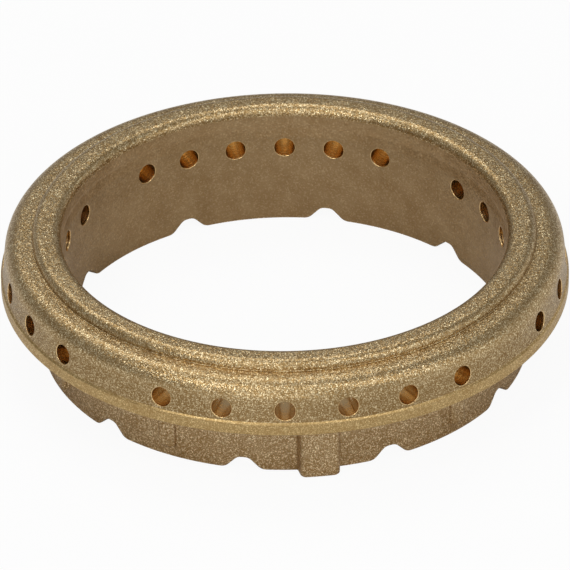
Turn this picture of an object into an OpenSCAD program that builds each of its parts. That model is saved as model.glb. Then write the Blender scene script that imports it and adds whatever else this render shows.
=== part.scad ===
// Gas burner crown: one brass casting that stands on its skirt, with the drilled
// flame ports through its head. Z runs up the axis of the ring from the skirt's bottom,
// and the lug faces -Y.

/* [Head] */
// Diameter of the bore at the port row
bore_d = 78.5; // [60:0.5:110]
// Radial width of the head, from the bore to the lip
head_w = 10.75; // [10.2:0.05:14]
// Height of the outer land above the underside of the lip
head_h = 9.85; // [9:0.05:14]
// Height of the turned lip around the foot of the head
lip_h = 2.65; // [1:0.05:3.2]
// Chamfer on both edges of the lip
lip_chamfer = 0.3; // [0.1:0.05:0.4]
// Lean of the port face, inwards towards the top
face_lean = 6; // [2:0.5:10]
// Radius of the shoulder between the port face and the outer land
shoulder_r = 3.1; // [1:0.1:4]

/* [Top land] */
// Radial width of the top land, from the bore to the foot of its step
top_land_w = 5.1; // [4:0.05:6]
// Height of the top land above the outer land
step_h = 1.7; // [1:0.05:3]
// Rounding of the top land's outer edge
step_r = 1.25; // [0.3:0.05:1.6]
// Fillet at the foot of the step
step_fillet = 0.3; // [0.1:0.05:0.6]
// Rounding of the inner rim
rim_r = 0.8; // [0.3:0.1:1]
// Radial width of the lead-in below the inner rim
lead_w = 0.35; // [0.2:0.05:0.8]
// Height of the lead-in
lead_h = 1.8; // [1.2:0.1:2.4]
// Rounding where the lead-in runs out into the mouth's wall
lead_r = 3; // [1:0.5:5]
// Depth of the wide mouth of the bore, below the top
mouth_depth = 3.8; // [2.8:0.1:4.8]
// How much further out the mouth's wall stands than the bore
mouth_step = 0.3; // [0.15:0.05:0.8]
// Height of the slope from the mouth down to the bore
mouth_slope_h = 2.1; // [1:0.1:2.4]

/* [Skirt] */
// Height of the skirt, from its bottom to the underside of the lip
skirt_h = 11.65; // [8:0.05:20]
// Wall of the skirt where it joins the head
skirt_wall = 3.85; // [3.4:0.05:4.4]
// Draft of the skirt's outside
skirt_draft = 1.1; // [0:0.1:2]
// Draft of the inside, below the straight bore
bore_draft = 0.5; // [0.1:0.1:4]
// Straight length of the bore below the mouth's slope
bore_straight = 7.3; // [5:0.1:9]
// Fillet between the skirt and the underside of the lip
root_fillet = 1; // [0.3:0.1:2]
// Rounding of the skirt's bottom edges
foot_r = 0.25; // [0.1:0.05:0.45]

/* [Ports] */
// Groups of ports around the head
port_groups = 4; // [2:1:5]
// Ports in each group
ports_in_group = 6; // [3:1:7]
// Drilled diameter of a port
port_d = 3.6; // [1.5:0.1:4]
// Height of a port's centre on the port face, above the underside of the lip
port_height = 4.95; // [4.6:0.05:5.5]
// Climb of a port from the bore outwards
port_rise = 9; // [0:0.5:12]
// Turn of the middle of the first group from the lug
port_turn = -1.2; // [-10:0.1:10]

/* [Notches] */
// Notches in the skirt's bottom, with a rib or the lug midway between each two
notch_count = 10; // [6:1:12]
// Depth of a notch
notch_depth = 2.3; // [1.5:0.05:3]
// Width of a notch's flat top before its corners are rounded
notch_top_w = 2; // [1.6:0.1:4]
// Lean of a notch's sides from the upright
notch_lean = 44; // [20:1:50]
// Rounding inside a notch
notch_r = 1.6; // [0.3:0.1:1.7]
// Rounding where a notch runs out into the skirt's bottom
notch_mouth_r = 1.9; // [0.3:0.1:2]
// Degrees by which the notches at the sides stand nearer to the lug than an even spacing
notch_drift = 1.2; // [0:0.1:2]

/* [Ribs and lug] */
// Width of a rib
rib_w = 3.1; // [2:0.1:5]
// How far a rib stands out from the top of the skirt
rib_out = 0.85; // [0.8:0.05:2]
// Height of a rib's lower end above the skirt's bottom
rib_lift = 2.15; // [0:0.05:4]
// Rounding of a rib's edges
rib_r = 0.7; // [0.2:0.05:0.75]
// Width of the lug
lug_w = 6.8; // [4:0.1:10]
// How far the lug stands out from the top of the skirt
lug_out = 2.7; // [1.2:0.05:3.5]
// Rounding of the lug's edges
lug_r = 0.8; // [0.3:0.05:1.1]

/* [Hidden] */
$fn = 96;
ring_fn = 240;
brass = [0.62, 0.52, 0.34];
// Overlap that lets a cutter or a web run past the surface it meets
past = 0.3;
// Upright wall left between two roundings that share it
wall_left = 0.04;
// How far below the skirt's bottom a notch's outline runs out
notch_dip = 0.03;
// Steps along the rounding of a notch's mouth
mouth_steps = 5;
// Turn of the ring's first facet, which brings it clear of the notches, ribs and ports
seam_turn = 8.5;

bore_r = bore_d / 2;
under_z = skirt_h;
lip_top_z = under_z + lip_h;
land_z = under_z + head_h;
top_z = land_z + step_h;
mouth_z = top_z - mouth_depth;
bore_top_z = mouth_z - mouth_slope_h;
bore_foot_z = bore_top_z - bore_straight;
face_foot_x = head_w - lip_chamfer;
skirt_root_r = bore_r + skirt_wall;

// Distance of the port face from the bore wall at a height
function face_x(z) = face_foot_x - (z - lip_top_z) * tan(face_lean);
function unit(v) = v / norm(v);
function flat(p) = [p.x, p.y];
function turn_side(a, b, c) = (b.x - a.x) * (c.y - b.y) - (b.y - a.y) * (c.x - b.x);

// Half section of the ring, counter-clockwise, as [distance from the bore wall, height,
// corner radius]
function section() = [
    [bore_foot_z * tan(bore_draft), 0, foot_r],
    [skirt_wall - skirt_h * tan(skirt_draft), 0, foot_r],
    [skirt_wall, under_z, root_fillet],
    [face_foot_x, under_z, 0],
    [head_w, under_z + lip_chamfer, 0],
    [head_w, lip_top_z - lip_chamfer, 0],
    [face_foot_x, lip_top_z, 0],
    [face_x(land_z), land_z, shoulder_r],
    [top_land_w, land_z, step_fillet],
    [top_land_w, top_z, min(step_r, step_h - step_fillet - wall_left)],
    [mouth_step + lead_w, top_z, rim_r],
    [mouth_step, top_z - lead_h, lead_r],
    [mouth_step, mouth_z, 0],
    [0, bore_top_z, 0],
    [0, bore_foot_z, 0]
];

// One mouth of a notch at side 1 or -1: steps along its rounding, up to the notch's side. It
// starts just below the skirt's bottom, so that it crosses the bottom at a slight angle
function notch_mouth(side) =
    let (
        bend = 90 - notch_lean,
        corner_x = notch_top_w / 2 + (notch_depth + notch_dip) * tan(notch_lean),
        hub = [corner_x + notch_mouth_r * tan(bend / 2), notch_mouth_r - notch_dip]
    )
    [for (i = [0:mouth_steps])
        let (a = bend * (side > 0 ? i : mouth_steps - i) / mouth_steps)
        [side * (hub.x - notch_mouth_r * sin(a)), hub.y - notch_mouth_r * cos(a), 0]];

// Outline of a notch, seen along the radius and open at the bottom
function notch_outline() =
    let (right = notch_mouth(1), left = notch_mouth(-1), foot = -notch_dip - past)
    concat(
        [[left[mouth_steps].x, foot, 0], [right[0].x, foot, 0]],
        right,
        [[notch_top_w / 2, notch_depth, notch_r], [-notch_top_w / 2, notch_depth, notch_r]],
        left
    );

// The sliver between a sharp corner and its arc, with the walls in counter-clockwise order:
// added at an inner corner, cut at an outer one
module corner_web(corner, from, to, r) {
    u = unit(from - corner);
    v = unit(to - corner);
    half = acos(u * v) / 2;
    reach = r / tan(half);
    hub = corner + unit(u + v) * r / sin(half);
    back = past / 2;
    difference() {
        polygon([
            corner - (u + v) * back,
            corner + u * reach - v * back,
            corner + u * reach,
            hub,
            corner + v * reach,
            corner + v * reach - u * back
        ]);
        translate(hub) circle(r);
    }
}

// A closed outline of [x, y, corner radius] points, counter-clockwise, with its corners rounded
module rounded_outline(points) {
    last = len(points) - 1;
    corners = [for (i = [0:last])
        let (
            before = flat(points[i == 0 ? last : i - 1]),
            corner = flat(points[i]),
            after = flat(points[i == last ? 0 : i + 1])
        )
        [before, corner, after, points[i].z, turn_side(before, corner, after)]];
    difference() {
        union() {
            polygon([for (p = points) flat(p)]);
            for (c = corners) if (c[3] > 0 && c[4] < 0) corner_web(c[1], c[0], c[2], c[3]);
        }
        for (c = corners) if (c[3] > 0 && c[4] > 0) corner_web(c[1], c[2], c[0], c[3]);
    }
}

module ring() {
    rotate(seam_turn)
        rotate_extrude($fn = ring_fn) translate([bore_r, 0]) rounded_outline(section());
}

// An upright pad on the skirt at -Y, with its edges rounded and its top sunk into the head
module pad(width, out, lift, r) {
    outer_r = skirt_root_r + out;
    inner_r = skirt_root_r - skirt_wall / 2;
    top = under_z + past;
    intersection() {
        rotate_extrude($fn = ring_fn)
            rounded_outline([[inner_r, lift, 0], [outer_r, lift, r], [outer_r, top, 0], [inner_r, top, 0]]);
        translate([0, -inner_r + past, 0]) rotate([90, 0, 0])
            linear_extrude(outer_r - inner_r + 2 * past)
                rounded_outline([
                    [-width / 2, lift, r],
                    [width / 2, lift, r],
                    [width / 2, top, 0],
                    [-width / 2, top, 0]
                ]);
        linear_extrude(top)
            rounded_outline([
                [-width / 2, -outer_r, r],
                [width / 2, -outer_r, r],
                [width / 2, -inner_r, 0],
                [-width / 2, -inner_r, 0]
            ]);
    }
}

// A drill through the head at -Y, along the climbing axis of a port
module port_drill() {
    face_z = under_z + port_height;
    reach = head_w + 2 * past;
    translate([0, -bore_r - face_x(face_z), face_z]) rotate([90 - port_rise, 0, 0])
        translate([0, 0, -reach]) cylinder(h = 2 * reach, d = port_d);
}

// A cutter for one notch through the skirt's wall at -Y
module notch_cutter() {
    translate([0, -bore_r + 2 * past, 0]) rotate([90, 0, 0])
        linear_extrude(skirt_wall + 4 * past) rounded_outline(notch_outline());
}

module burner_crown() {
    rib_pitch = 360 / notch_count;
    port_pitch = 360 / port_groups / (ports_in_group + 1);
    color(brass) difference() {
        union() {
            ring();
            pad(lug_w, lug_out, 0, lug_r);
            for (i = [1:notch_count - 1]) rotate(i * rib_pitch) pad(rib_w, rib_out, rib_lift, rib_r);
        }
        for (i = [0:notch_count - 1])
            let (a = (i + 0.5) * rib_pitch) rotate(a - notch_drift * sin(a)) notch_cutter();
        for (g = [0:port_groups - 1], i = [0:ports_in_group - 1])
            rotate(port_turn + g * 360 / port_groups + (i - (ports_in_group - 1) / 2) * port_pitch)
                port_drill();
    }
}

burner_crown();
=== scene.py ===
"""Looks of the gas burner crown: its dressed mesh, its brass finishes and a plain studio.

Sizes are in millimetres until a mesh is made, and azimuths are in degrees from the lug (-Y)
towards +X.
"""

import logging
import math
from dataclasses import dataclass, field
from enum import Enum, IntEnum

import bpy
import numpy as np
from mathutils import Matrix, Vector


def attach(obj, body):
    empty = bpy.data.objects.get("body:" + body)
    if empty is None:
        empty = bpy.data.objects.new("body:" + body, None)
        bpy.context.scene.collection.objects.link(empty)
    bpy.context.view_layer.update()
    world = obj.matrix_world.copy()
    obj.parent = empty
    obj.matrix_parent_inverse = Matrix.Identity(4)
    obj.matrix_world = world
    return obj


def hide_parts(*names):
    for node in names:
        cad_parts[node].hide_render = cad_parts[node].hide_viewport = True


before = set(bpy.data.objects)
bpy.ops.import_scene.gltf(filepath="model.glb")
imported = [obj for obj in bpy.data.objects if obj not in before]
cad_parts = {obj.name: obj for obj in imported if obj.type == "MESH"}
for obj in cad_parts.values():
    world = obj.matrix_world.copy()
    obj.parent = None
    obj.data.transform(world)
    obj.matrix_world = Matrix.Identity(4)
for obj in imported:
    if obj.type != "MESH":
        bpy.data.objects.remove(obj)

log = logging.getLogger("burner_crown")
MM = 0.001
WHITE = (1.0, 1.0, 1.0)

Point = tuple[float, float]
Triple = tuple[float, float, float]
Loop = list[int]


class Finish(IntEnum):
    """Finish of a face, in the order of the mesh's material slots."""

    BLASTED = 0
    TURNED = 1
    DRILLED = 2
    BORED = 3
    SKIRT = 4


def lerp(a: float, b: float, share: float) -> float:
    """Returns the value a share of the way from a to b."""
    return a + (b - a) * share


def fillet(before: Point, corner: Point, after: Point, radius: float, steps: int) -> list[Point]:
    """Rounds a corner of a section.

    Args:
        before: A point on the line that leads to the corner.
        corner: The sharp corner.
        after: A point on the line that leaves it.
        radius: Radius of the rounding.
        steps: Straight steps along the rounding.

    Returns:
        The points of the rounding, from the first tangent point to the last.
    """
    here = Vector(corner)
    back = (Vector(before) - here).normalized()
    ahead = (Vector(after) - here).normalized()
    half = back.angle(ahead) / 2.0
    hub = here + (back + ahead).normalized() * radius / math.sin(half)
    start = here + back * radius / math.tan(half) - hub
    end = here + ahead * radius / math.tan(half) - hub
    turn = math.atan2(start.x * end.y - start.y * end.x, start.dot(end))
    points = []
    for step in range(steps + 1):
        angle = turn * step / steps
        cos, sin = math.cos(angle), math.sin(angle)
        points.append((hub.x + cos * start.x - sin * start.y, hub.y + sin * start.x + cos * start.y))
    return points


def spread(path: list[Point], pieces: int) -> list[Point]:
    """Places points evenly along a path.

    Args:
        path: Corners of the path.
        pieces: Number of equal pieces.

    Returns:
        One point more than there are pieces, with both ends kept.
    """
    runs = [math.dist(a, b) for a, b in zip(path, path[1:])]
    marks = np.concatenate([[0.0], np.cumsum(runs)])
    places = np.linspace(0.0, marks[-1], pieces + 1)
    xs = np.interp(places, marks, [p[0] for p in path])
    zs = np.interp(places, marks, [p[1] for p in path])
    return [(float(x), float(z)) for x, z in zip(xs, zs)]


class MeshBuffer:
    """Collects the vertices and faces of one piece.

    Attributes:
        points: Place of each vertex.
        faces: Vertex numbers of each face, counter-clockwise from outside.
        finishes: Finish of each face.
    """

    def __init__(self) -> None:
        """Starts an empty piece."""
        self.points: list[Triple] = []
        self.faces: list[tuple[int, ...]] = []
        self.finishes: list[int] = []

    def add(self, radius: float, azimuth: float, z: float) -> int:
        """Adds a vertex.

        Args:
            radius: Distance from the ring's axis.
            azimuth: Turn from the lug, in degrees.
            z: Height.

        Returns:
            The vertex's number.
        """
        turn = math.radians(azimuth)
        self.points.append((radius * math.sin(turn), -radius * math.cos(turn), z))
        return len(self.points) - 1

    def polar(self, vertex: int) -> Triple:
        """Returns a vertex's distance from the axis, its azimuth in degrees and its height."""
        x, y, z = self.points[vertex]
        return math.hypot(x, y), math.degrees(math.atan2(x, -y)), z

    def face(self, corners: tuple[int, ...], finish: Finish) -> None:
        """Adds a face, with its corners counter-clockwise from outside."""
        self.faces.append(corners)
        self.finishes.append(int(finish))

    def band(self, first: Loop, second: Loop, finish: Finish) -> None:
        """Joins two closed loops of as many vertices with quads.

        Args:
            first: The loop that the faces' first edges follow.
            second: The loop on its left, seen from outside.
            finish: Finish of the quads.
        """
        count = len(first)
        for i in range(count):
            j = (i + 1) % count
            self.face((first[i], first[j], second[j], second[i]), finish)

    def zip_loops(self, first: Loop, second: Loop, finish: Finish) -> None:
        """Joins two closed loops of unlike counts around the axis with triangles.

        Args:
            first: The loop that the faces' first edges follow, in order of azimuth.
            second: The loop on its left, seen from outside, in order of azimuth.
            finish: Finish of the triangles.
        """
        sides = []
        for loop in (first, second):
            turns = [self.polar(v)[1] % 360.0 for v in loop]
            start = turns.index(min(turns))
            order = loop[start:] + loop[:start] + [loop[start]]
            turns = turns[start:] + turns[:start]
            sides.append((order, turns + [turns[0] + 360.0]))
        (low, low_turns), (high, high_turns) = sides
        i = j = 0
        while i < len(low) - 1 or j < len(high) - 1:
            step_low = i < len(low) - 1 and (
                j == len(high) - 1 or low_turns[i + 1] <= high_turns[j + 1]
            )
            if step_low:
                self.face((low[i], low[i + 1], high[j]), finish)
                i += 1
            else:
                self.face((low[i], high[j + 1], high[j]), finish)
                j += 1

    def build(self, name: str, finishes: list[bpy.types.Material]) -> bpy.types.Object:
        """Makes the Blender object.

        Args:
            name: Name of the object and its mesh.
            finishes: Materials in the order of Finish.

        Returns:
            The object, linked to the scene, with each vertex's normal weighted by area.
        """
        self.drop_loose()
        mesh = bpy.data.meshes.new(name)
        mesh.from_pydata([tuple(c * MM for c in p) for p in self.points], [], self.faces)
        for material in finishes:
            mesh.materials.append(material)
        mesh.polygons.foreach_set("material_index", self.finishes)
        mesh.shade_smooth()
        mesh.normals_split_custom_set_from_vertices(self.normals())
        obj = bpy.data.objects.new(name, mesh)
        bpy.context.scene.collection.objects.link(obj)
        return obj

    def drop_loose(self) -> None:
        """Drops the vertices that no face uses, such as those in the gaps for the ports."""
        used = sorted({vertex for corners in self.faces for vertex in corners})
        number = {vertex: i for i, vertex in enumerate(used)}
        self.points = [self.points[vertex] for vertex in used]
        self.faces = [tuple(number[vertex] for vertex in corners) for corners in self.faces]

    def normals(self) -> list[Triple]:
        """Returns each vertex's normal, in which a large face counts for more than a small one."""
        places = np.array(self.points)
        sums = np.zeros_like(places)
        for corners in (3, 4):
            faces = np.array([f for f in self.faces if len(f) == corners], int)
            if not len(faces):
                continue
            a, b = places[faces[:, 0]], places[faces[:, 1]]
            c, d = places[faces[:, 2]], places[faces[:, -1]]
            area = np.cross(b - a, c - a) if corners == 3 else np.cross(c - a, d - b)
            for k in range(corners):
                np.add.at(sums, faces[:, k], area)
        sums /= np.linalg.norm(sums, axis=1, keepdims=True)
        return [tuple(n) for n in sums.tolist()]


@dataclass(frozen=True)
class Corner:
    """A corner of the head's section.

    Attributes:
        x: Distance from the bore wall.
        z: Height.
        radius: Rounding of the corner.
        steps: Steps along the rounding.
        pieces: Equal pieces along the straight that follows.
        finish: Finish from the rounding's end on.
        holds_ports: Whether the ports open into that straight.
    """

    x: float
    z: float
    radius: float = 0.0
    steps: int = 0
    pieces: int = 1
    finish: Finish = Finish.BLASTED
    holds_ports: bool = False


@dataclass(frozen=True)
class Row:
    """A ring of vertices in the head.

    Attributes:
        radius: Distance from the ring's axis.
        z: Height.
        finish: Finish of the strip that follows it.
    """

    radius: float
    z: float
    finish: Finish


@dataclass(frozen=True)
class Ports:
    """The drilled flame ports.

    Attributes:
        groups: Groups of ports around the head.
        in_group: Ports in each group.
        diameter: Drilled diameter.
        height: Height of a port's centre on the port face, above the lip's underside.
        rise: Climb from the bore outwards, in degrees.
        turn: Turn of the first group's middle from the lug, in degrees.
        edge: Width of the broken edge at both ends.
        half_patch: Columns of the head between a port's middle and the side of its gap.
        tube_steps: Strips along a port's wall.
        annulus_steps: Strips between a gap's sides and the port's broken edge.
    """

    groups: int = 4
    in_group: int = 6
    diameter: float = 3.6
    height: float = 4.95
    rise: float = 9.0
    turn: float = -1.2
    edge: float = 0.12
    half_patch: int = 5
    tube_steps: int = 5
    annulus_steps: int = 3

    def middles(self) -> list[float]:
        """Returns the azimuth of each port, in pitches from the first group's middle."""
        slots = self.in_group + 1
        return [
            group * slots + port - (self.in_group - 1) / 2.0
            for group in range(self.groups)
            for port in range(self.in_group)
        ]

    @property
    def pitch(self) -> float:
        """Turn from one port to the next, in degrees."""
        return 360.0 / self.groups / (self.in_group + 1)

    @property
    def patch(self) -> int:
        """Columns, and rows, across the square gap around a port."""
        return 2 * self.half_patch

    @property
    def sides(self) -> int:
        """Sides of a port's wall, one for each vertex around its gap."""
        return 4 * self.patch


@dataclass(frozen=True)
class PortBore:
    """One port: the hole in the port face, the hole in the bore wall and the tube between.

    Attributes:
        ports: What all the ports share.
        azimuth: Azimuth of its axis.
        start: Distance from the ring's axis and height of its centre on the port face.
        face: Two such points on the port face's straight wall.
        bore: Two such points on the bore's straight wall.
        first_side: Angle of its first side, which lies at the gap's lower left corner.
        rounds: Rounds of the search for where a line along the port meets a wall.
    """

    ports: Ports
    azimuth: float
    start: Point
    face: tuple[Point, Point]
    bore: tuple[Point, Point]
    first_side: float = -135.0
    rounds: int = 8

    def angle(self, k: int) -> float:
        """Returns the angle of side k around the port's own axis, in radians."""
        return math.radians(self.first_side + 360.0 * k / self.ports.sides)

    def seen_from_bore(self, k: int) -> int:
        """Returns the side that comes in place k when the sides are counted from the bore."""
        return (self.ports.sides * 3 // 4 - k) % self.ports.sides

    def wall_radius(self, wall: tuple[Point, Point], z: float) -> float:
        """Returns a straight wall's distance from the ring's axis at a height."""
        (r0, z0), (r1, z1) = wall
        return lerp(r0, r1, (z - z0) / (z1 - z0))

    def place(self, k: int, radius: float, depth: float, wall: tuple[Point, Point]) -> Triple:
        """Finds a point where the port's wall, or one around it, meets the face or the bore.

        Args:
            k: Side of the tube.
            radius: Distance from the port's own axis.
            depth: How far into the port the point is moved from there.
            wall: Two points (radius, height) on the face's or the bore's straight wall.

        Returns:
            Distance from the ring's axis, azimuth in degrees and height.
        """
        rise = math.radians(self.ports.rise)
        side = radius * math.cos(self.angle(k))
        up = radius * math.sin(self.angle(k))
        along = 0.0 if wall is self.face else wall[0][0] - self.start[0]
        for _ in range(self.rounds):
            out = self.start[0] + along * math.cos(rise) - up * math.sin(rise)
            z = self.start[1] + along * math.sin(rise) + up * math.cos(rise)
            along -= (math.hypot(out, side) - self.wall_radius(wall, z)) / math.cos(rise)
        along += -depth if wall is self.face else depth
        out = self.start[0] + along * math.cos(rise) - up * math.sin(rise)
        z = self.start[1] + along * math.sin(rise) + up * math.cos(rise)
        return math.hypot(out, side), self.azimuth + math.degrees(math.atan2(side, out)), z

    def opening(self, mesh: MeshBuffer, edge: Loop, wall: tuple[Point, Point], skin: Finish) -> Loop:
        """Fills a square gap in the face or the bore up to the port, with a broken edge.

        Args:
            mesh: Buffer of the crown.
            edge: Vertices around the gap, one for each side of the tube.
            wall: Two points on the straight wall that the gap is in.
            skin: Finish around the port.

        Returns:
            The loop where the tube starts, in the order of the gap's vertices.
        """
        ports = self.ports
        sides = [k if wall is self.face else self.seen_from_bore(k) for k in range(ports.sides)]
        half = ports.diameter / 2.0
        rim = [self.place(k, half + ports.edge, 0.0, wall) for k in sides]
        previous = edge
        for step in range(1, ports.annulus_steps):
            share = step / ports.annulus_steps
            ring = []
            for vertex, (_, azimuth, z) in zip(edge, rim):
                _, edge_azimuth, edge_z = mesh.polar(vertex)
                away = (azimuth - edge_azimuth + 180.0) % 360.0 - 180.0
                height = lerp(edge_z, z, share)
                ring.append(
                    mesh.add(self.wall_radius(wall, height), edge_azimuth + away * share, height)
                )
            mesh.band(previous, ring, skin)
            previous = ring
        soft = ports.edge * (1.0 - math.sqrt(0.5))
        cuts = [(ports.edge, 0.0, skin), (soft, soft, Finish.DRILLED), (0.0, ports.edge, Finish.DRILLED)]
        for out, depth, finish in cuts:
            ring = [mesh.add(*self.place(k, half + out, depth, wall)) for k in sides]
            mesh.band(previous, ring, finish)
            previous = ring
        return previous

    def build(self, mesh: MeshBuffer, face_gap: Loop, bore_gap: Loop) -> None:
        """Builds the port.

        Args:
            mesh: Buffer of the crown.
            face_gap: Vertices around the gap in the port face.
            bore_gap: Vertices around the gap in the bore.
        """
        outer = self.opening(mesh, face_gap, self.face, Finish.BLASTED)
        inner = self.opening(mesh, bore_gap, self.bore, Finish.BORED)
        inner = [inner[self.seen_from_bore(k)] for k in range(self.ports.sides)]
        previous = outer
        for step in range(1, self.ports.tube_steps):
            share = step / self.ports.tube_steps
            ring = []
            for a, b in zip(outer, inner):
                start, end = Vector(mesh.points[a]), Vector(mesh.points[b])
                mesh.points.append(tuple(start.lerp(end, share)))
                ring.append(len(mesh.points) - 1)
            mesh.band(previous, ring, Finish.DRILLED)
            previous = ring
        mesh.band(previous, inner, Finish.DRILLED)


@dataclass(frozen=True)
class Head:
    """The head of the ring, from the lip's underside over the top to the bore.

    Attributes:
        bore_r: Radius of the bore at the port row.
        head_w: Radial width, from the bore to the lip.
        head_h: Height of the outer land above the lip's underside.
        lip_h: Height of the lip.
        lip_chamfer: Chamfer on both edges of the lip.
        lip_edge_r: Rounding where the lip's side meets its chamfers.
        lip_end_r: Rounding where the lower chamfer meets the lip's underside.
        lip_foot_r: Rounding where the upper chamfer meets the port face.
        face_lean: Lean of the port face in degrees, inwards towards the top.
        shoulder_r: Rounding between the port face and the outer land.
        top_land_w: Radial width from the bore to the foot of the step.
        step_h: Height of the top land above the outer land.
        step_r: Rounding at the top of the step.
        step_fillet: Fillet at the foot of the step.
        rim_r: Rounding of the inner rim.
        collar_x: How much further out the wall below the rim stands than the bore.
        collar_h: Depth below the top at which that wall starts to widen.
        mouth_depth: Depth of the wide mouth, below the top.
        mouth_step: How much further out the mouth's wall stands than the bore.
        mouth_slope_h: Height of the slope from the mouth down to the bore.
        mouth_r: Rounding of each bend in the mouth.
        under_z: Height of the lip's underside.
        under_start: Where the head's share of the underside starts, from the bore.
        wall_end: Height at which the head's share of the bore ends.
        columns_per_port: Columns of vertices from one port to the next.
        ports: The ports through it.
    """

    bore_r: float = 39.25
    head_w: float = 10.75
    head_h: float = 9.85
    lip_h: float = 2.65
    lip_chamfer: float = 0.3
    lip_edge_r: float = 0.2
    lip_end_r: float = 0.15
    lip_foot_r: float = 0.12
    face_lean: float = 6.0
    shoulder_r: float = 3.1
    top_land_w: float = 5.1
    step_h: float = 1.7
    step_r: float = 1.45
    step_fillet: float = 0.15
    rim_r: float = 1.7
    collar_x: float = 0.05
    collar_h: float = 3.4
    mouth_depth: float = 4.2
    mouth_step: float = 0.25
    mouth_slope_h: float = 1.7
    mouth_r: float = 1.0
    under_z: float = 11.65
    under_start: float = 8.45
    wall_end: float = 12.75
    columns_per_port: int = 16
    ports: Ports = field(default_factory=Ports)

    @property
    def land_z(self) -> float:
        """Height of the outer land."""
        return self.under_z + self.head_h

    @property
    def top_z(self) -> float:
        """Height of the top land."""
        return self.land_z + self.step_h

    @property
    def bore_top_z(self) -> float:
        """Height at which the straight bore starts."""
        return self.top_z - self.mouth_depth - self.mouth_slope_h

    def face_x(self, z: float) -> float:
        """Returns the port face's distance from the bore wall at a height."""
        foot = self.head_w - self.lip_chamfer
        return foot - (z - self.under_z - self.lip_h) * math.tan(math.radians(self.face_lean))

    def corners(self) -> list[Corner]:
        """Returns the section's corners, from the lip's underside to the bore."""
        lip_top = self.under_z + self.lip_h
        foot = self.head_w - self.lip_chamfer
        mouth_z = self.top_z - self.mouth_depth
        low_edge, high_edge = self.under_z + self.lip_chamfer, lip_top - self.lip_chamfer
        patch, skirt, turned, bored = self.ports.patch, Finish.SKIRT, Finish.TURNED, Finish.BORED
        return [
            Corner(self.under_start, self.under_z, pieces=2, finish=skirt),
            Corner(foot, self.under_z, self.lip_end_r, 2, 1, turned),
            Corner(self.head_w, low_edge, self.lip_edge_r, 3, 4, turned),
            Corner(self.head_w, high_edge, self.lip_edge_r, 3, 1, turned),
            Corner(foot, lip_top, self.lip_foot_r, 3, patch, holds_ports=True),
            Corner(self.face_x(self.land_z), self.land_z, self.shoulder_r, 11, 2),
            Corner(self.top_land_w, self.land_z, self.step_fillet, 5, 1),
            Corner(self.top_land_w, self.top_z, self.step_r, 9, 3),
            Corner(self.collar_x, self.top_z, self.rim_r, 12, 2, bored),
            Corner(self.collar_x, self.top_z - self.collar_h, self.mouth_r, 2, 1, bored),
            Corner(self.mouth_step, mouth_z, self.mouth_r, 2, 2, bored),
            Corner(0.0, self.bore_top_z, self.mouth_r, 2, patch, bored, holds_ports=True),
            Corner(0.0, self.wall_end, finish=bored),
        ]

    def rows(self) -> tuple[list[Row], list[tuple[int, int]]]:
        """Traces the section.

        Returns:
            The rows, and the first and last row of the port face and of the bore's wall.
        """
        corners = self.corners()
        rows = [Row(self.bore_r + corners[0].x, corners[0].z, corners[0].finish)]
        walls = []
        for i, corner in enumerate(corners[:-1]):
            first = len(rows) - 1
            after = corners[i + 1]
            here = (rows[-1].radius, rows[-1].z)
            if i + 2 < len(corners):
                ends = [(self.bore_r + c.x, c.z) for c in (corner, after, corners[i + 2])]
                bend = fillet(*ends, after.radius, after.steps)
            else:
                bend = [(self.bore_r + after.x, after.z)]
            for radius, z in spread([here, bend[0]], corner.pieces)[1:]:
                rows.append(Row(radius, z, corner.finish))
            if corner.holds_ports:
                walls.append((first, len(rows) - 1))
            for radius, z in bend[1:]:
                rows.append(Row(radius, z, corner.finish))
            rows[-1] = Row(rows[-1].radius, rows[-1].z, after.finish)
        return rows, walls

    def build(self, mesh: MeshBuffer) -> tuple[Loop, Loop]:
        """Builds the head with its ports.

        Args:
            mesh: Buffer of the crown.

        Returns:
            The head's first loop, under the lip, and its last, in the bore.
        """
        ports = self.ports
        rows, walls = self.rows()
        per_port = self.columns_per_port
        count = per_port * ports.groups * (ports.in_group + 1)
        turns = [ports.turn + ports.pitch * c / per_port for c in range(count)]
        grid = [[mesh.add(row.radius, turn, row.z) for turn in turns] for row in rows]
        middles = [round(m * per_port) for m in ports.middles()]
        gone = {
            (row, (middle + c) % count)
            for first, last in walls
            for row in range(first, last)
            for middle in middles
            for c in range(-ports.half_patch, ports.half_patch)
        }
        for i, row in enumerate(rows[:-1]):
            for c in range(count):
                if (i, c) not in gone:
                    d = (c + 1) % count
                    corners = (grid[i][c], grid[i][d], grid[i + 1][d], grid[i + 1][c])
                    mesh.face(corners, row.finish)
        face, bore = [tuple((rows[i].radius, rows[i].z) for i in wall) for wall in walls]
        start_z = self.under_z + ports.height
        start = (self.bore_r + self.face_x(start_z), start_z)
        for middle in middles:
            gaps = [self.gap(grid, wall, middle) for wall in walls]
            azimuth = ports.turn + ports.pitch * middle / per_port
            PortBore(ports, azimuth, start, face, bore).build(mesh, *gaps)
        return grid[0], grid[-1]

    def gap(self, grid: list[Loop], wall: tuple[int, int], middle: int) -> Loop:
        """Lists the vertices around a port's gap.

        Args:
            grid: The head's rows of vertices.
            wall: First and last row of the gap.
            middle: Column of the port's middle.

        Returns:
            The vertices, counter-clockwise from outside.
        """
        half, count = self.ports.half_patch, len(grid[0])
        columns = [(middle + c) % count for c in range(-half, half + 1)]
        low, high = wall
        return (
            [grid[low][c] for c in columns[:-1]]
            + [grid[i][columns[-1]] for i in range(low, high)]
            + [grid[high][c] for c in reversed(columns[1:])]
            + [grid[i][columns[0]] for i in range(high, low, -1)]
        )


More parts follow.
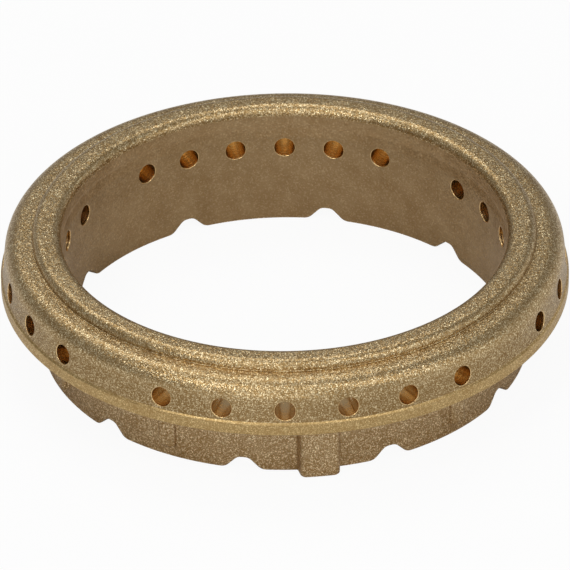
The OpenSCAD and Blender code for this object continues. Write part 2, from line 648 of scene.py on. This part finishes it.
@dataclass(frozen=True)
class Pad:
    """A rib or the lug on the outside of the skirt.

    Attributes:
        width: Width of its outside.
        out: How far it stands out from the top of the skirt.
        lift: Height of its lower end.
        radius: Rounding of its edges.
        slant: How much further out each side stands at its foot.
        foot: Fillet at the foot of its sides.
        root: Fillet at its top end, under the lip.
        flat_steps: Steps across half of its outside.
        side_steps: Steps down the straight part of a side.
        depth: Height of its sides, from the skirt out.
        edge_steps: Steps around the rounding of an edge.
        toe_steps: Steps along the fillet at its foot.
        margin: Width of the plain skirt on each side that belongs to it.
    """

    width: float
    out: float
    lift: float
    radius: float
    slant: float
    foot: float
    root: float
    flat_steps: int
    side_steps: int
    depth: float
    edge_steps: int = 6
    toe_steps: int = 4
    margin: float = 0.4

    @property
    def reach(self) -> float:
        """Distance from the pad's middle to where the plain skirt starts."""
        return self.width / 2.0 + self.slant + self.foot + self.margin

    def half_profile(self) -> list[tuple[float, float, float]]:
        """Traces the pad's plan from its middle to the plain skirt.

        Returns:
            For each column its distance from the middle, how far it stands out, from 0 to 1,
            and how much of the pull at the lower corners it takes.
        """
        half = self.width / 2.0
        top, side = (half, self.depth), (half + self.slant, 0.0)
        foot = (side[0] + self.foot, 0.0)
        shoulder = fillet((0.0, self.depth), top, side, self.radius, self.edge_steps)
        toe = fillet(top, side, foot, self.foot, self.toe_steps)
        flat = spread([(0.0, self.depth), shoulder[0]], self.flat_steps)
        straight = spread([shoulder[-1], toe[0]], self.side_steps)
        path = flat[:-1] + shoulder[:-1] + straight[:-1] + toe
        flat_half = half - self.radius
        columns = [(x, out / self.depth, min(1.0, x / flat_half)) for x, out in path]
        columns.append((lerp(path[-1][0], self.reach, 0.5), 0.0, 0.5))
        columns.append((self.reach, 0.0, 0.0))
        return columns

    def pull(self, z: float) -> float:
        """Returns how far the rounded lower corner draws the side in at a height."""
        below = self.lift + self.radius - z
        if below <= 0.0:
            return 0.0
        return self.radius - math.sqrt(max(0.0, self.radius**2 - below**2))


@dataclass(frozen=True)
class Notches:
    """The notches in the skirt's bottom.

    Attributes:
        count: Number of notches, with a rib or the lug midway between each two.
        depth: Depth of a notch.
        top_w: Width of its flat top before its corners are rounded.
        lean: Lean of its sides from the upright, in degrees.
        radius: Rounding inside it.
        mouth_radius: Rounding where it runs out into the skirt's bottom.
        drift: Degrees by which the notches at the sides stand nearer to the lug.
        inner_steps: Steps along the rounding inside it.
        side_steps: Steps along its side.
        mouth_steps: Steps along the rounding of its mouth.
    """

    count: int = 10
    depth: float = 2.3
    top_w: float = 2.0
    lean: float = 44.0
    radius: float = 1.6
    mouth_radius: float = 1.9
    drift: float = 1.2
    inner_steps: int = 4
    side_steps: int = 2
    mouth_steps: int = 5

    def outline(self) -> list[Point]:
        """Returns half of the outline, from the middle of the top to the skirt's bottom."""
        foot_x = self.top_w / 2.0 + self.depth * math.tan(math.radians(self.lean))
        top, foot = (self.top_w / 2.0, self.depth), (foot_x, 0.0)
        after = (foot_x + self.mouth_radius, 0.0)
        inner = fillet((0.0, self.depth), top, foot, self.radius, self.inner_steps)
        mouth = fillet(top, foot, after, self.mouth_radius, self.mouth_steps)
        side = spread([inner[-1], mouth[0]], self.side_steps)
        return [(0.0, self.depth)] + inner + side[1:-1] + mouth

    def middle(self, k: int) -> float:
        """Returns the azimuth of a notch's middle, which stands nearer to the lug at the sides."""
        even = (k + 0.5) * 360.0 / self.count
        return even - self.drift * math.sin(math.radians(even))

    def height(self, x: float) -> float:
        """Returns the notch's height at a distance from its middle."""
        path = self.outline()
        return float(np.interp(abs(x), [p[0] for p in path], [p[1] for p in path], right=0.0))


@dataclass(frozen=True)
class Station:
    """One column of the skirt.

    Attributes:
        azimuth: Its azimuth on the bore side.
        pad: The rib or lug that it belongs to, if any.
        middle: Azimuth of the pad's middle.
        offset: Distance from the pad's middle on the outside.
        weight: How far it stands out with the pad, from 0 to 1.
        pull: How much of the pull at the pad's lower corners it takes.
    """

    azimuth: float
    pad: Pad | None = None
    middle: float = 0.0
    offset: float = 0.0
    weight: float = 0.0
    pull: float = 0.0


@dataclass(frozen=True)
class Skirt:
    """The skirt with its notches, ribs and lug, up to the lip's underside.

    Attributes:
        head: The head that it hangs from.
        wall: Its wall where it joins the head.
        draft: Draft of its outside in degrees.
        bore_draft: Draft of its inside below the straight bore, in degrees.
        bore_straight: Length of the straight bore.
        root_fillet: Fillet between its outside and the lip's underside.
        foot_r: Rounding of its bottom edges.
        stretch_z: Height up to which a notch moves the rows above it.
        end_low: Height of the row below a rib's lower end.
        end_high: Height of the row above it.
        wall_start: Height at which the skirt's share of the bore starts.
        under_end: Where the skirt's share of the lip's underside ends, from the bore.
        plain_steps: Columns between a notch and a pad.
        bore_steps: Rows down the bore.
        edge_steps: Rows along each bottom edge's rounding.
        bottom_steps: Rows across the bottom.
        low_steps: Rows from the bottom edge up to end_low.
        end_steps: Rows from end_low to end_high.
        side_steps: Rows from there to the fillet under the lip.
        root_steps: Rows along that fillet.
        under_steps: Rows under the lip.
        toe_steps: Steps along the fillet below a rib's lower end, before its rows are spread.
        nose_steps: Steps along the rounding of that end, before its rows are spread.
        notches: The notches.
        lug: The lug, which faces the front.
        rib: The ribs.
    """

    head: Head
    wall: float = 3.85
    draft: float = 1.1
    bore_draft: float = 0.5
    bore_straight: float = 7.3
    root_fillet: float = 1.0
    foot_r: float = 0.28
    stretch_z: float = 5.5
    end_low: float = 1.8
    end_high: float = 2.95
    wall_start: float = 12.45
    under_end: float = 8.15
    plain_steps: int = 7
    bore_steps: int = 10
    edge_steps: int = 4
    bottom_steps: int = 3
    low_steps: int = 3
    end_steps: int = 9
    side_steps: int = 6
    root_steps: int = 6
    under_steps: int = 4
    toe_steps: int = 8
    nose_steps: int = 16
    notches: Notches = field(default_factory=Notches)
    lug: Pad = Pad(
        width=6.8, out=2.7, lift=0.0, radius=0.8, slant=0.3, foot=0.5, root=0.5,
        flat_steps=5, side_steps=3, depth=2.8,
    )
    rib: Pad = Pad(
        width=3.1, out=0.85, lift=2.15, radius=0.6, slant=0.15, foot=0.4, root=0.6,
        flat_steps=3, side_steps=1, depth=1.0,
    )

    def outside(self, z: float) -> Point:
        """Returns the plain skirt's outside at a height."""
        slope = math.tan(math.radians(self.draft))
        return self.wall - (self.head.under_z - z) * slope, z

    def section(self, pad: Pad | None) -> list[tuple[float, float, Finish]]:
        """Traces the skirt's section, plain or through a pad, always in as many rows.

        Args:
            pad: The pad that the section goes through, or None.

        Returns:
            Radius, height and finish of each row, from the bore to the lip's underside.
        """
        under, outside = self.head.under_z, self.outside
        bore_foot = self.head.bore_top_z - self.bore_straight
        foot_x = bore_foot * math.tan(math.radians(self.bore_draft))
        inner_foot, bore_z = (foot_x, 0.0), (0.0, bore_foot)
        outer_x = self.wall + (pad.out if pad else 0.0)
        low, high, steps = self.end_low, self.end_high, self.edge_steps
        inner_arc = fillet(bore_z, inner_foot, (self.wall, 0.0), self.foot_r, steps)
        if pad and not pad.lift:
            outer_arc = fillet(inner_foot, (outer_x, 0.0), (outer_x, under), pad.radius, steps)
            zone = [(outer_x, low), (outer_x, high)]
        else:
            outer_arc = fillet(inner_foot, outside(0.0), outside(under), self.foot_r, steps)
            zone = [outside(low), outside(high)]
        if pad and pad.lift:
            end_in, end_out = outside(pad.lift), (outer_x, pad.lift)
            toe = fillet(outside(0.0), end_in, end_out, pad.foot, self.toe_steps)
            nose = fillet(end_in, end_out, (outer_x, under), pad.radius, self.nose_steps)
            zone = [outside(low)] + toe + nose + [(outer_x, high)]
        root = (outer_x, under)
        root_r = pad.root if pad else self.root_fillet
        root_arc = fillet(zone[-1], root, (self.under_end, under), root_r, self.root_steps)
        stretches = [
            ([(0.0, self.wall_start), bore_z, inner_arc[0]], self.bore_steps, Finish.BORED),
            (inner_arc, steps, Finish.SKIRT),
            ([inner_arc[-1], outer_arc[0]], self.bottom_steps, Finish.SKIRT),
            (outer_arc, steps, Finish.SKIRT),
            ([outer_arc[-1], zone[0]], self.low_steps, Finish.SKIRT),
            (zone, self.end_steps, Finish.SKIRT),
            ([zone[-1], root_arc[0]], self.side_steps, Finish.SKIRT),
            (root_arc, self.root_steps, Finish.SKIRT),
            ([root_arc[-1], (self.under_end, under)], self.under_steps, Finish.SKIRT),
        ]
        rows = [(self.head.bore_r, self.wall_start, Finish.BORED)]
        for path, pieces, finish in stretches:
            rows += [(self.head.bore_r + x, z, finish) for x, z in spread(path, pieces)[1:]]
        return rows

    def follow(self, row: int, rows: int) -> float:
        """Finds how far the columns of a row follow the pads' sides.

        Args:
            row: Number of the row, from the bore on.
            rows: Number of rows.

        Returns:
            0 in the bore, 1 on the outside, and what lies between on the bottom and under the lip.
        """
        across_bottom = (row - self.bore_steps - self.edge_steps) / self.bottom_steps
        under_lip = (rows - 1 - row) / self.under_steps
        return min(1.0, max(0.0, across_bottom), max(0.0, under_lip))

    def stations(self) -> list[Station]:
        """Returns the skirt's columns in order of azimuth."""
        outside_r = self.head.bore_r + self.wall
        middle_r = outside_r - self.wall / 2.0
        notch = [math.degrees(math.asin(x / middle_r)) for x, _ in self.notches.outline()]
        stations = []
        for k in range(self.notches.count):
            pad = self.rib if k else self.lug
            middle = k * 360.0 / self.notches.count
            profile = pad.half_profile()
            edge = math.degrees(math.asin(pad.reach / outside_r))
            columns = [(-x, w, p) for x, w, p in reversed(profile[1:])] + profile
            before = [self.notches.middle(k - 1) + turn for turn in notch]
            after = [self.notches.middle(k) - turn for turn in reversed(notch)]
            plain = np.linspace(before[-1], middle - edge, self.plain_steps + 1)[1:-1].tolist()
            stations += [Station(azimuth) for azimuth in before + plain]
            for i, (offset, weight, pull) in enumerate(columns):
                azimuth = middle + lerp(-edge, edge, i / (len(columns) - 1))
                stations.append(Station(azimuth, pad, middle, offset, weight, pull))
            plain = np.linspace(middle + edge, after[0], self.plain_steps + 1)[1:-1].tolist()
            stations += [Station(azimuth) for azimuth in plain + after[:-1]]
        return stations

    def notch_lift(self, radius: float, azimuth: float, z: float) -> float:
        """Returns how far a notch raises a point of the skirt."""
        away = azimuth - self.notches.middle(math.floor(azimuth * self.notches.count / 360.0))
        height = self.notches.height(radius * math.sin(math.radians(away)))
        return height * min(1.0, max(0.0, (self.stretch_z - z) / (self.stretch_z - self.foot_r)))

    def build(self, mesh: MeshBuffer) -> tuple[Loop, Loop]:
        """Builds the skirt.

        Args:
            mesh: Buffer of the crown.

        Returns:
            The skirt's first loop, in the bore, and its last, under the lip.
        """
        plain = self.section(None)
        raised = {pad: self.section(pad) for pad in (self.lug, self.rib)}
        stations = self.stations()
        grid = []
        for i, (radius, z, _) in enumerate(plain):
            follow = self.follow(i, len(plain))
            loop = []
            for station in stations:
                out_r, out_z, azimuth = radius, z, station.azimuth
                if station.pad:
                    pad_r, pad_z, _ = raised[station.pad][i]
                    out_r = lerp(radius, pad_r, station.weight * follow)
                    out_z = lerp(z, pad_z, station.weight * follow)
                    side = 1.0 if station.offset >= 0.0 else -1.0
                    offset = station.offset - side * station.pull * station.pad.pull(pad_z)
                    beside = station.middle + math.degrees(math.asin(offset / out_r))
                    azimuth = lerp(azimuth, beside, follow)
                out_z += self.notch_lift(out_r, azimuth, out_z)
                loop.append(mesh.add(out_r, azimuth, out_z))
            grid.append(loop)
        for first, second, (_, _, finish) in zip(grid, grid[1:], plain[1:]):
            mesh.band(first, second, finish)
        return grid[0], grid[-1]


class Graph:
    """Adds nodes to a node tree and links them."""

    def __init__(self, tree: bpy.types.NodeTree) -> None:
        """Keeps the tree that the nodes go into."""
        self.tree = tree

    def node(
        self, kind: str, settings: dict[str, object] | None = None, **inputs: object
    ) -> bpy.types.Node:
        """Adds a node.

        Args:
            kind: The node's type.
            settings: Its properties.
            **inputs: Values or sockets, keyed by the input's name, or by its number after "i".

        Returns:
            The node.
        """
        node = self.tree.nodes.new(kind)
        for name, value in (settings or {}).items():
            setattr(node, name, value)
        for name, value in inputs.items():
            key = int(name[1:]) if name[0] == "i" and name[1:].isdigit() else name.replace("_", " ")
            socket = node.inputs[key]
            if isinstance(value, bpy.types.NodeSocket):
                self.tree.links.new(value, socket)
            else:
                socket.default_value = value
        return node

    def math(self, operation: str, *values: object) -> bpy.types.NodeSocket:
        """Adds a Math node and returns its output."""
        inputs = {f"i{k}": value for k, value in enumerate(values)}
        return self.node("ShaderNodeMath", {"operation": operation}, **inputs).outputs[0]

    def vector(self, operation: str, *values: object, **inputs: object) -> bpy.types.NodeSocket:
        """Adds a Vector Math node and returns its vector output."""
        inputs.update({f"i{k}": value for k, value in enumerate(values)})
        return self.node("ShaderNodeVectorMath", {"operation": operation}, **inputs).outputs[0]


class Tool(Enum):
    """The tool that left marks in a finish, named by what the marks go around."""

    LATHE = "the ring's axis"
    DRILL = "a port's axis"


@dataclass(frozen=True)
class ToolMarks:
    """Fine rings left by a tool.

    Attributes:
        tool: What left them.
        spacing: Distance between the rings in millimetres.
        tilt: How far they lean from the surface.
    """

    tool: Tool
    spacing: float
    tilt: float

    def lean(self, graph: Graph, place: bpy.types.NodeSocket) -> bpy.types.NodeSocket:
        """Makes the marks.

        Args:
            graph: Graph of the material.
            place: Object coordinates.

        Returns:
            What the marks add to the normal.
        """
        plan = graph.vector("MULTIPLY", place, (1.0, 1.0, 0.0))
        if self.tool is Tool.DRILL:
            along = graph.node("ShaderNodeVectorMath", {"operation": "LENGTH"}, i0=plan).outputs["Value"]
            way = graph.vector("NORMALIZE", plan)
        else:
            along = graph.node("ShaderNodeSeparateXYZ", Vector=place).outputs["Z"]
            way = (0.0, 0.0, 1.0)
        wave = graph.node(
            "ShaderNodeTexNoise",
            {"noise_dimensions": "1D"},
            W=along,
            Scale=1.0 / (self.spacing * MM),
            Detail=2.0,
        ).outputs["Fac"]
        size = graph.math("MULTIPLY", graph.math("SUBTRACT", wave, 0.5), self.tilt)
        return graph.vector("SCALE", way, Scale=size)


@dataclass(frozen=True)
class BrassFinish:
    """A brass surface with a grain of small facets.

    Attributes:
        name: Name of the material.
        colour: Colour in linear values.
        roughness: Roughness of each facet.
        grain: Size of a facet in millimetres.
        tilt: How far the facets lean from the surface.
        grain_and_painted_glint: How much brighter a few of the grains are than the rest, partly grain
            tone and partly painted glints.
        blotch: Strength of the broad light and dark patches in the colour.
        marks: Tool marks, if any.
        painted_shade_span: Heights in millimetres between which the colour fades in from its painted
            shade.
        painted_shade_factor: Share of each channel that is left below that span, which paints shade
            there.
        paling: How much more each channel changes than red, as pale grains and painted glints are less
            yellow.
        rarity: Power that sets how few the bright grains, the painted glints, are.
        patches: How many patches there are in a metre.
    """

    name: str
    colour: Triple
    roughness: float
    grain: float
    tilt: float
    grain_and_painted_glint: float
    blotch: float
    marks: ToolMarks | None = None
    painted_shade_span: tuple[float, float] | None = None
    painted_shade_factor: Triple = (0.78, 0.755, 0.72)
    paling: Triple = (1.0, 1.3, 1.8)
    rarity: float = 4.0
    patches: float = 260.0

    def build(self) -> bpy.types.Material:
        """Makes the material.

        Returns:
            The material, with its grain fixed to the object.
        """
        material = bpy.data.materials.new(self.name)
        material.use_nodes = True
        graph = Graph(material.node_tree)
        shader = material.node_tree.nodes["Principled BSDF"]
        shader.inputs["Metallic"].default_value = 1.0
        shader.inputs["Roughness"].default_value = self.roughness
        place = graph.node("ShaderNodeTexCoord").outputs["Object"]
        cells = graph.node("ShaderNodeTexVoronoi", Vector=place, Scale=1.0 / (self.grain * MM))
        random = graph.vector("SUBTRACT", cells.outputs["Color"], (0.5, 0.5, 0.5))
        lean = graph.vector("SCALE", random, Scale=self.tilt)
        normal = graph.node("ShaderNodeNewGeometry").outputs["Normal"]
        normal = graph.vector("ADD", normal, lean)
        if self.marks:
            normal = graph.vector("ADD", normal, self.marks.lean(graph, place))
        normal = graph.vector("NORMALIZE", normal)
        graph.tree.links.new(normal, shader.inputs["Normal"])
        graph.tree.links.new(self.tint(graph, place, cells), shader.inputs["Base Color"])
        return material

    def tint(
        self, graph: Graph, place: bpy.types.NodeSocket, cells: bpy.types.Node
    ) -> bpy.types.NodeSocket:
        """Makes the colour with its grains and patches, with some grains standing for painted glints,
        and with painted shade below the given heights.

        Args:
            graph: Graph of the material.
            place: Object coordinates.
            cells: The grain's Voronoi node.

        Returns:
            The colour's socket.
        """
        # Grain tone, with a few grains that are much brighter than the rest as painted glints.
        chance = graph.node("ShaderNodeTexWhiteNoise", Vector=cells.outputs["Position"])
        rare = graph.math("POWER", chance.outputs["Value"], self.rarity)
        mean = 1.0 / (self.rarity + 1.0)
        fine = graph.math("MULTIPLY", graph.math("SUBTRACT", rare, mean), self.grain_and_painted_glint / mean)
        patches = graph.node("ShaderNodeTexNoise", Vector=place, Scale=self.patches, Detail=4.0)
        broad = graph.math("SUBTRACT", patches.outputs["Fac"], 0.5)
        level = graph.math("ADD", fine, graph.math("MULTIPLY", broad, self.blotch))
        change = graph.vector("SCALE", self.paling, Scale=level)
        base = self.colour
        # Painted shade: below the given heights each channel keeps only the given share, fading up to
        # the full colour above them.
        if self.painted_shade_span:
            low, high = self.painted_shade_span
            height = graph.node("ShaderNodeSeparateXYZ", Vector=place).outputs["Z"]
            base = graph.node(
                "ShaderNodeMapRange",
                {"data_type": "FLOAT_VECTOR", "interpolation_type": "SMOOTHSTEP"},
                Vector=graph.node("ShaderNodeCombineXYZ", X=height, Y=height, Z=height).outputs[0],
                i7=(low * MM,) * 3,
                i8=(high * MM,) * 3,
                i9=tuple(c * d for c, d in zip(self.colour, self.painted_shade_factor)),
                i10=self.colour,
            ).outputs["Vector"]
        return graph.vector("MULTIPLY", graph.vector("ADD", change, WHITE), base)


@dataclass(frozen=True)
class Lamp:
    """A soft lamp that faces the crown.

    Attributes:
        name: Name of the lamp.
        azimuth: Where it stands, in degrees from the lug towards +X.
        elevation: Its height in degrees above the floor.
        watts: Its power.
        side: Side of its square face in metres.
        distance: Its distance in metres.
        aim_height: Height in millimetres of the point that it faces.
    """

    name: str
    azimuth: float
    elevation: float
    watts: float
    side: float = 0.42
    distance: float = 0.9
    aim_height: float = 15.0

    def build(self) -> None:
        """Makes the lamp."""
        data = bpy.data.lights.new(self.name, "AREA")
        data.shape = "SQUARE"
        data.size = self.side
        data.energy = self.watts
        lamp = bpy.data.objects.new(self.name, data)
        bpy.context.scene.collection.objects.link(lamp)
        turn, up = math.radians(self.azimuth), math.radians(self.elevation)
        away = Vector((math.sin(turn) * math.cos(up), -math.cos(turn) * math.cos(up), math.sin(up)))
        lamp.location = away * self.distance + Vector((0.0, 0.0, self.aim_height * MM))
        lamp.rotation_euler = away.to_track_quat("Z", "Y").to_euler()


@dataclass(frozen=True)
class Studio:
    """A pale floor, an even surrounding light and soft lamps.

    Attributes:
        floor_side: Side of the floor in metres.
        floor_colour: Its level of grey.
        glow: Share of plain white that the camera sees in it.
        around: Level of the surrounding light.
        lamps: The soft lamps, named by where they stand.
    """

    floor_side: float = 6.0
    floor_colour: float = 0.9
    glow: float = 0.93
    around: float = 0.305
    lamps: tuple[Lamp, ...] = (
        Lamp("key_left", -38.0, 42.0, 0.92, side=0.2),
        Lamp("key_right", 35.0, 38.0, 1.04),
        Lamp("low_front", -14.0, 12.0, 0.98),
        Lamp("low_right", 60.0, 12.0, 0.50),
        Lamp("low_back_right", 110.0, 12.0, 0.28),
        Lamp("high_front", 15.0, 56.0, 0.46, side=0.2),
        Lamp("high_left", -50.0, 56.0, 0.36, side=0.2),
        Lamp("side_left", -70.0, 56.0, 0.12, side=0.2),
        Lamp("top_left", -50.0, 72.0, 0.25, side=0.2),
        Lamp("back", 173.0, 64.0, 1.08),
        Lamp("back_left", -150.0, 52.0, 0.76),
    )

    def build(self) -> None:
        """Builds the world, the floor and the lamps."""
        self.surround()
        self.floor()
        for lamp in self.lamps:
            lamp.build()

    def surround(self) -> None:
        """Makes a world that is white to the camera and gives a dimmer, even light.

        The brass reflects the dimmer level, as a white surround turns it pale.
        """
        world = bpy.data.worlds.new("studio")
        bpy.context.scene.world = world
        world.use_nodes = True
        graph = Graph(world.node_tree)
        background = world.node_tree.nodes["Background"]
        seen = graph.node("ShaderNodeLightPath").outputs["Is Camera Ray"]
        strength = graph.node("ShaderNodeMapRange", Value=seen, To_Min=self.around, To_Max=1.0)
        graph.tree.links.new(strength.outputs["Result"], background.inputs["Strength"])
        background.inputs["Color"].default_value = (*WHITE, 1.0)

    def floor(self) -> None:
        """Makes the floor, which keeps the crown's shadow."""
        half = self.floor_side / 2.0
        corners = [(-half, -half, 0.0), (half, -half, 0.0), (half, half, 0.0), (-half, half, 0.0)]
        mesh = bpy.data.meshes.new("floor")
        mesh.from_pydata(corners, [], [(0, 1, 2, 3)])
        material = bpy.data.materials.new("pale_floor")
        material.use_nodes = True
        graph = Graph(material.node_tree)
        graph.tree.nodes.remove(graph.tree.nodes["Principled BSDF"])
        level = self.floor_colour
        matt = graph.node("ShaderNodeBsdfDiffuse", Color=(level, level, level, 1.0)).outputs[0]
        bright = graph.node("ShaderNodeEmission", Color=(*WHITE, 1.0)).outputs[0]
        seen = graph.node("ShaderNodeLightPath").outputs["Is Camera Ray"]
        share = graph.math("MULTIPLY", seen, self.glow)
        mix = graph.node("ShaderNodeMixShader", i0=share, i1=matt, i2=bright).outputs[0]
        graph.tree.links.new(mix, graph.tree.nodes["Material Output"].inputs["Surface"])
        mesh.materials.append(material)
        floor = bpy.data.objects.new("floor", mesh)
        bpy.context.scene.collection.objects.link(floor)


@dataclass(frozen=True)
class PhotoCamera:
    """A long lens at the photograph's viewing angle.

    The camera looks at the ring's axis. Its own small turns place the object in the frame.

    Attributes:
        picture_px: Side of the picture in pixels.
        sensor_mm: Width of the sensor.
        focal_px: Focal length in pixels.
        distance: Distance from the point that it turns around, in metres.
        aim_height: Height of that point in metres.
        elevation_deg: How steeply it looks down.
        turn_deg: Its turn around the ring's axis from the lug.
        roll_deg: Its own turn around its line of sight.
        tilt_deg: Its own turn up or down.
        clip: Nearest and farthest distance that it shows, in metres.
    """

    picture_px: int = 570
    sensor_mm: float = 36.0
    focal_px: float = 12941.0
    distance: float = 2.277
    aim_height: float = 16.58 * MM
    elevation_deg: float = 32.46
    turn_deg: float = -7.36
    roll_deg: float = -0.611
    tilt_deg: float = -0.121
    clip: tuple[float, float] = (0.1, 20.0)

    def build(self) -> bpy.types.Object:
        """Makes the camera and sets it as the scene's own.

        Returns:
            The camera object.
        """
        data = bpy.data.cameras.new("photo_camera")
        data.sensor_width = self.sensor_mm
        data.lens = self.focal_px / self.picture_px * self.sensor_mm
        data.clip_start, data.clip_end = self.clip
        camera = bpy.data.objects.new("photo_camera", data)
        bpy.context.scene.collection.objects.link(camera)
        elevation = math.radians(self.elevation_deg)
        around = Matrix.Rotation(math.radians(self.turn_deg), 4, "Z")
        lift = Matrix.Rotation(math.radians(90.0) - elevation, 4, "X")
        own = Matrix.Rotation(math.radians(self.tilt_deg), 4, "X") @ Matrix.Rotation(
            math.radians(self.roll_deg), 4, "Z"
        )
        aim = Matrix.Translation((0.0, 0.0, self.aim_height))
        back = Matrix.Translation((0.0, 0.0, self.distance))
        camera.matrix_world = aim @ around @ lift @ back @ own
        bpy.context.scene.camera = camera
        return camera


@dataclass(frozen=True)
class BurnerCrown:
    """The whole crown: one piece of brass with five finishes.

    Attributes:
        head: The head.
        finishes: The finishes, in the order of Finish.
    """

    head: Head = field(default_factory=Head)
    finishes: tuple[BrassFinish, ...] = (
        BrassFinish(
            "blasted_brass", (0.505, 0.364, 0.187),
            # Painted shade: the port face is darker and less yellow, fading out over the shoulder.
            roughness=0.34, grain=0.15, tilt=0.34, grain_and_painted_glint=0.29, blotch=0.25, painted_shade_span=(16.8, 20.2),
        ),
        BrassFinish(
            "turned_brass", (0.525, 0.362, 0.158),
            roughness=0.40, grain=0.15, tilt=0.20, grain_and_painted_glint=0.17, blotch=0.2,
            marks=ToolMarks(Tool.LATHE, spacing=0.15, tilt=0.12),
        ),
        BrassFinish(
            "drilled_brass", (0.79, 0.55, 0.265),
            roughness=0.25, grain=0.12, tilt=0.06, grain_and_painted_glint=0.02, blotch=0.1,
            marks=ToolMarks(Tool.DRILL, spacing=0.25, tilt=0.4),
        ),
        BrassFinish(
            "bored_brass", (0.452, 0.309, 0.158),
            roughness=0.45, grain=0.24, tilt=0.30, grain_and_painted_glint=0.06, blotch=0.4,
            # Painted shade: the bore below the mouth is 9% darker than the mouth's slope above it.
            painted_shade_span=(16.9, 17.6), painted_shade_factor=(0.91, 0.91, 0.91),
        ),
        BrassFinish(
            "skirt_brass", (0.502, 0.355, 0.190),
            roughness=0.42, grain=0.16, tilt=0.30, grain_and_painted_glint=0.28, blotch=0.3,
        ),
    )

    def build(self) -> bpy.types.Object:
        """Builds the crown.

        Returns:
            The object, which rides on the root body in place of the CAD node.
        """
        mesh = MeshBuffer()
        under_lip, in_bore = self.head.build(mesh)
        skirt_bore, skirt_top = Skirt(self.head).build(mesh)
        mesh.zip_loops(skirt_top, under_lip, Finish.SKIRT)
        mesh.zip_loops(in_bore, skirt_bore, Finish.BORED)
        crown = mesh.build("crown", [finish.build() for finish in self.finishes])
        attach(crown, "root")
        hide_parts("burner_crown")
        log.info("crown: %d vertices, %d faces", len(mesh.points), len(mesh.faces))
        return crown


def main() -> None:
    """Builds the crown and its studio."""
    logging.basicConfig(level=logging.INFO, format="%(name)s: %(message)s")
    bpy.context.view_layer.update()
    BurnerCrown().build()
    Studio().build()
    PhotoCamera().build()
    bpy.context.scene.view_settings.view_transform = "Standard"
    log.info("studio and camera are in place")


if __name__ == "__main__":
    main()
